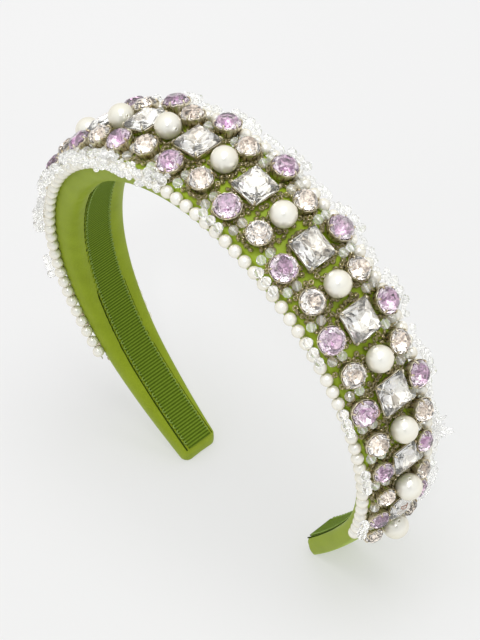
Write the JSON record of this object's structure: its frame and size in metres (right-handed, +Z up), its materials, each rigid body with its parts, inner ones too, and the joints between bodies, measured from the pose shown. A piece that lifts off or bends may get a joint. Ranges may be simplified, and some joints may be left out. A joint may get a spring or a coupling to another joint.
{
  "type": "headband",
  "caption": "Padded satin headband with a sprung core, grosgrain lining, and sewn rows of claw-set crystals, pearls and glass beads.",
  "frame": {"origin": "on the floor midway between the two tips, where the headband stands", "axes": "+X towards the right arm (ear to ear), +Y across the band towards its front edge, +Z up towards the crown"},
  "size_m": [0.1611, 0.0373, 0.1523],
  "materials": {
    "satin": "smooth satin with a soft sheen",
    "grosgrain": "ribbed grosgrain ribbon",
    "foam": "open-cell foam",
    "core_plastic": "moulded sprung plastic",
    "clear_crystal": "faceted, foil backed",
    "lilac_crystal": "faceted, foil backed",
    "setting_metal": "antique champagne plating",
    "pearl": "ivory pearl lustre",
    "thread": "bonded thread",
    "bead_glass": "clear polished glass",
    "seed_glass": "smoky silver-lined glass"
  },
  "bodies": {
    "crown": {"clear_crystals_crown": "clear_crystal", "clear_settings_crown": "setting_metal", "edge_pearls_crown": "pearl", "edge_thread_crown": "thread", "foam_pad_crown": "foam", "glass_beads_crown": "bead_glass", "large_pearls_crown": "pearl", "lilac_crystals_crown": "lilac_crystal", "lilac_settings_crown": "setting_metal", "ribbon_lining_crown": "grosgrain", "satin_cover_crown": "satin", "seed_beads_crown": "seed_glass", "spring_core_crown": "core_plastic", "square_crystals_crown": "clear_crystal", "square_settings_crown": "setting_metal"},
    "left_arm": {"clear_crystals_left_arm": "clear_crystal", "clear_settings_left_arm": "setting_metal", "edge_pearls_left_arm": "pearl", "edge_thread_left_arm": "thread", "foam_pad_left_arm": "foam", "glass_beads_left_arm": "bead_glass", "large_pearls_left_arm": "pearl", "lilac_crystals_left_arm": "lilac_crystal", "lilac_settings_left_arm": "setting_metal", "ribbon_lining_left_arm": "grosgrain", "satin_cover_left_arm": "satin", "seed_beads_left_arm": "seed_glass", "spring_core_left_arm": "core_plastic", "square_crystals_left_arm": "clear_crystal", "square_settings_left_arm": "setting_metal"},
    "right_arm": {"clear_crystals_right_arm": "clear_crystal", "clear_settings_right_arm": "setting_metal", "edge_pearls_right_arm": "pearl", "edge_thread_right_arm": "thread", "foam_pad_right_arm": "foam", "glass_beads_right_arm": "bead_glass", "large_pearls_right_arm": "pearl", "lilac_crystals_right_arm": "lilac_crystal", "lilac_settings_right_arm": "setting_metal", "ribbon_lining_right_arm": "grosgrain", "satin_cover_right_arm": "satin", "seed_beads_right_arm": "seed_glass", "spring_core_right_arm": "core_plastic", "square_crystals_right_arm": "clear_crystal", "square_settings_right_arm": "setting_metal"}
  },
  "joints": [
    {"name": "left_arm_flex", "type": "hinge", "parent": "crown", "child": "left_arm", "pos_m": [-0.05232, 0, 0.13112], "axis": [0, 1, 0], "range_deg": [0, 18], "stiffness_Nm_per_rad": 0.6},
    {"name": "right_arm_flex", "type": "hinge", "parent": "crown", "child": "right_arm", "pos_m": [0.05232, 0, 0.13112], "axis": [0, -1, 0], "range_deg": [0, 18], "stiffness_Nm_per_rad": 0.6}
  ]
}
